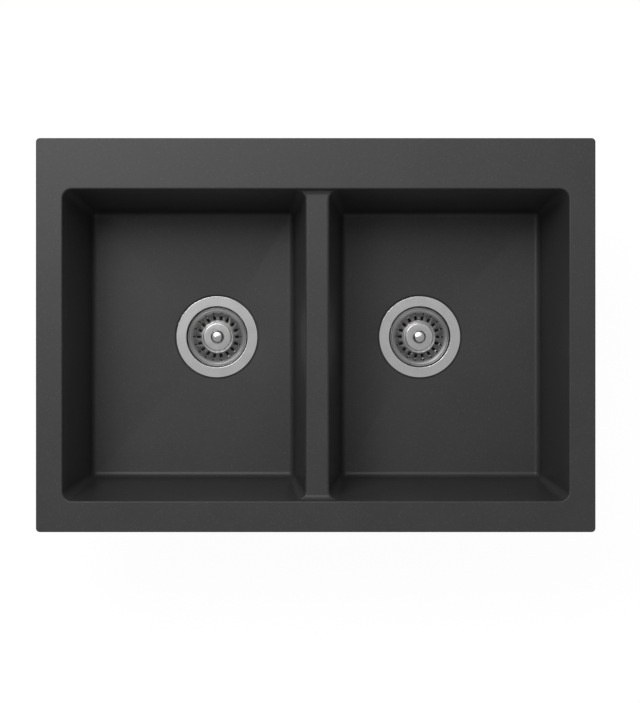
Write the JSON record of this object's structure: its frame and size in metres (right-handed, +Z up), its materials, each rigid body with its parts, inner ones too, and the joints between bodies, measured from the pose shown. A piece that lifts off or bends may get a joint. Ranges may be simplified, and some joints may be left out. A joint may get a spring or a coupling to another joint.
{
  "type": "double bowl kitchen sink",
  "caption": "Drop-in double bowl kitchen sink moulded in dark stone composite, with lift-out basket strainers, wastes under the bowls and swivelling worktop clamps",
  "frame": {"origin": "middle of the rim's outline in plan, on the worktop's top face, which is the underside of the rim", "axes": "+X to the right along the length, seen from the front; +Y to the rear, where the wide tap ledge is; +Z up out of the bowls"},
  "size_m": [0.71, 0.5, 0.2824],
  "materials": {
    "stone_composite": "satin granular stone composite",
    "brushed_steel": "brushed stainless steel",
    "polished_steel": "polished stainless steel",
    "zinc_steel": "bright zinc plate",
    "waste_plastic": "moulded black polypropylene",
    "seal_rubber": "matt black rubber",
    "seal_foam": "closed-cell foam",
    "nylon": "natural moulded nylon"
  },
  "bodies": {
    "sink": {"sink_body": "stone_composite", "rim_seal": "seal_foam", "left_strainer_cup": "brushed_steel", "left_flange_seal": "seal_rubber", "left_seat_seal": "seal_rubber", "left_waste_body": "waste_plastic", "left_centre_screw": "zinc_steel", "left_outlet_washer": "seal_rubber", "left_outlet_nut": "waste_plastic", "right_strainer_cup": "brushed_steel", "right_flange_seal": "seal_rubber", "right_seat_seal": "seal_rubber", "right_waste_body": "waste_plastic", "right_centre_screw": "zinc_steel", "right_outlet_washer": "seal_rubber", "right_outlet_nut": "waste_plastic", "clamp_insert_1": "nylon", "clamp_screw_1": "zinc_steel", "clamp_insert_2": "nylon", "clamp_screw_2": "zinc_steel", "clamp_insert_3": "nylon", "clamp_screw_3": "zinc_steel", "clamp_insert_4": "nylon", "clamp_screw_4": "zinc_steel", "clamp_insert_5": "nylon", "clamp_screw_5": "zinc_steel", "clamp_insert_6": "nylon", "clamp_screw_6": "zinc_steel", "clamp_insert_7": "nylon", "clamp_screw_7": "zinc_steel", "clamp_insert_8": "nylon", "clamp_screw_8": "zinc_steel"},
    "left_lift_basket": {"left_basket": "brushed_steel", "left_basket_cap": "polished_steel", "left_knob": "polished_steel", "left_stem": "zinc_steel", "left_stopper_seal": "seal_rubber"},
    "right_lift_basket": {"right_basket": "brushed_steel", "right_basket_cap": "polished_steel", "right_knob": "polished_steel", "right_stem": "zinc_steel", "right_stopper_seal": "seal_rubber"},
    "swivel_clamp_1": {"clamp_1": "zinc_steel"},
    "swivel_clamp_2": {"clamp_2": "zinc_steel"},
    "swivel_clamp_3": {"clamp_3": "zinc_steel"},
    "swivel_clamp_4": {"clamp_4": "zinc_steel"},
    "swivel_clamp_5": {"clamp_5": "zinc_steel"},
    "swivel_clamp_6": {"clamp_6": "zinc_steel"},
    "swivel_clamp_7": {"clamp_7": "zinc_steel"},
    "swivel_clamp_8": {"clamp_8": "zinc_steel"}
  },
  "joints": [
    {"name": "left_basket_lift", "type": "slide", "parent": "sink", "child": "left_lift_basket", "axis": [0, 0, 1], "range_m": [0, 0.25]},
    {"name": "right_basket_lift", "type": "slide", "parent": "sink", "child": "right_lift_basket", "axis": [0, 0, 1], "range_m": [0, 0.25]},
    {"name": "clamp_swivel_1", "type": "hinge", "parent": "sink", "child": "swivel_clamp_1", "pos_m": [-0.18, -0.2325, -0.0353], "axis": [0, 0, 1], "range_deg": [0, 90]},
    {"name": "clamp_swivel_2", "type": "hinge", "parent": "sink", "child": "swivel_clamp_2", "pos_m": [0.18, -0.2325, -0.0353], "axis": [0, 0, 1], "range_deg": [0, 90]},
    {"name": "clamp_swivel_3", "type": "hinge", "parent": "sink", "child": "swivel_clamp_3", "pos_m": [0.3375, -0.1275, -0.0353], "axis": [0, 0, 1], "range_deg": [0, 90]},
    {"name": "clamp_swivel_4", "type": "hinge", "parent": "sink", "child": "swivel_clamp_4", "pos_m": [0.3375, 0.1025, -0.0353], "axis": [0, 0, 1], "range_deg": [0, 90]},
    {"name": "clamp_swivel_5", "type": "hinge", "parent": "sink", "child": "swivel_clamp_5", "pos_m": [0.18, 0.2325, -0.0353], "axis": [0, 0, 1], "range_deg": [0, 90]},
    {"name": "clamp_swivel_6", "type": "hinge", "parent": "sink", "child": "swivel_clamp_6", "pos_m": [-0.18, 0.2325, -0.0353], "axis": [0, 0, 1], "range_deg": [0, 90]},
    {"name": "clamp_swivel_7", "type": "hinge", "parent": "sink", "child": "swivel_clamp_7", "pos_m": [-0.3375, 0.1025, -0.0353], "axis": [0, 0, 1], "range_deg": [0, 90]},
    {"name": "clamp_swivel_8", "type": "hinge", "parent": "sink", "child": "swivel_clamp_8", "pos_m": [-0.3375, -0.1275, -0.0353], "axis": [0, 0, 1], "range_deg": [0, 90]}
  ]
}
